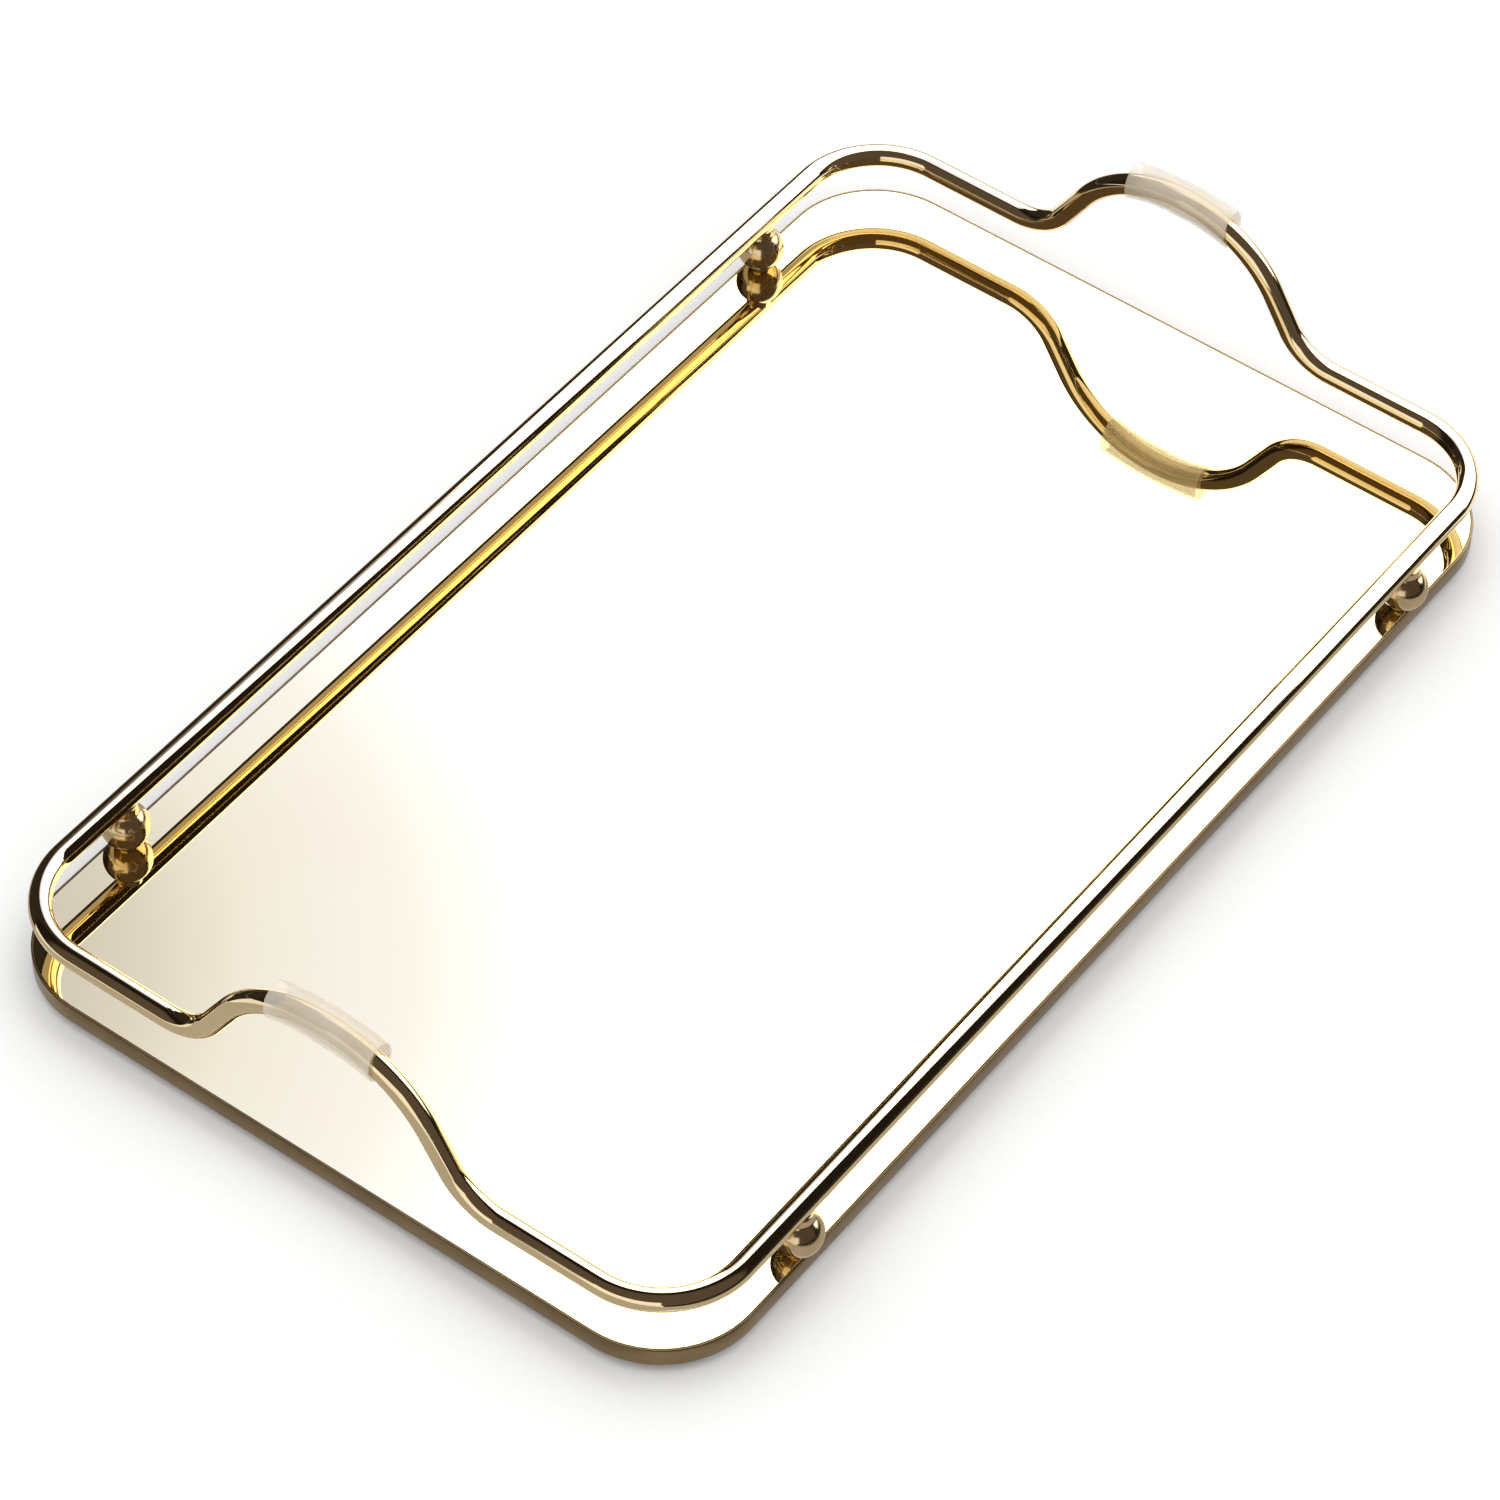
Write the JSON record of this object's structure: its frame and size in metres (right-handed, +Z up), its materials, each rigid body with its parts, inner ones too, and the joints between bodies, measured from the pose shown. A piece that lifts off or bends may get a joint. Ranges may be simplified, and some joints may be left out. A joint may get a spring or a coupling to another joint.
{
  "type": "dresser vanity tray",
  "caption": "Rounded rectangular mirror tray with a low gold rod rail on ball posts, raised into a sleeved carrying arch at each short end.",
  "frame": {"origin": "on the surface that the tray stands on, under the middle of the tray", "axes": "+X along the tray towards the right-hand handle, +Y across it towards the rear, +Z up"},
  "size_m": [0.3044, 0.183, 0.0523],
  "materials": {
    "mirror": "polished glass, silvered on its back, with a warm amber tint",
    "foam_tape": "thin white foam tape",
    "hardboard": "dark hardboard",
    "bronze_band": "satin bronze plating, darker than the rail",
    "rail_gold": "polished pale champagne gold plating",
    "ball_gold": "polished pale champagne gold plating",
    "clear_plastic": "clear soft plastic",
    "screw_steel": "zinc-plated steel",
    "sleeve_plastic": "milky translucent soft tube",
    "foot_rubber": "matt black rubber"
  },
  "bodies": {
    "root": {"mirror_glass": "mirror", "mirror_tape_strips": "foam_tape", "base_board": "hardboard", "edge_band": "bronze_band", "side_rail_front": "rail_gold", "side_rail_rear": "rail_gold", "end_rail_left": "rail_gold", "end_rail_right": "rail_gold", "ball_post_front_left": "ball_gold", "ball_post_front_right": "ball_gold", "ball_post_rear_left": "ball_gold", "ball_post_rear_right": "ball_gold", "post_gaskets": "clear_plastic", "post_screws": "screw_steel", "screw_washers": "screw_steel", "grip_sleeve_left": "sleeve_plastic", "grip_sleeve_right": "sleeve_plastic", "foot_front_left": "foot_rubber", "foot_front_right": "foot_rubber", "foot_rear_left": "foot_rubber", "foot_rear_right": "foot_rubber"}
  },
  "joints": []
}
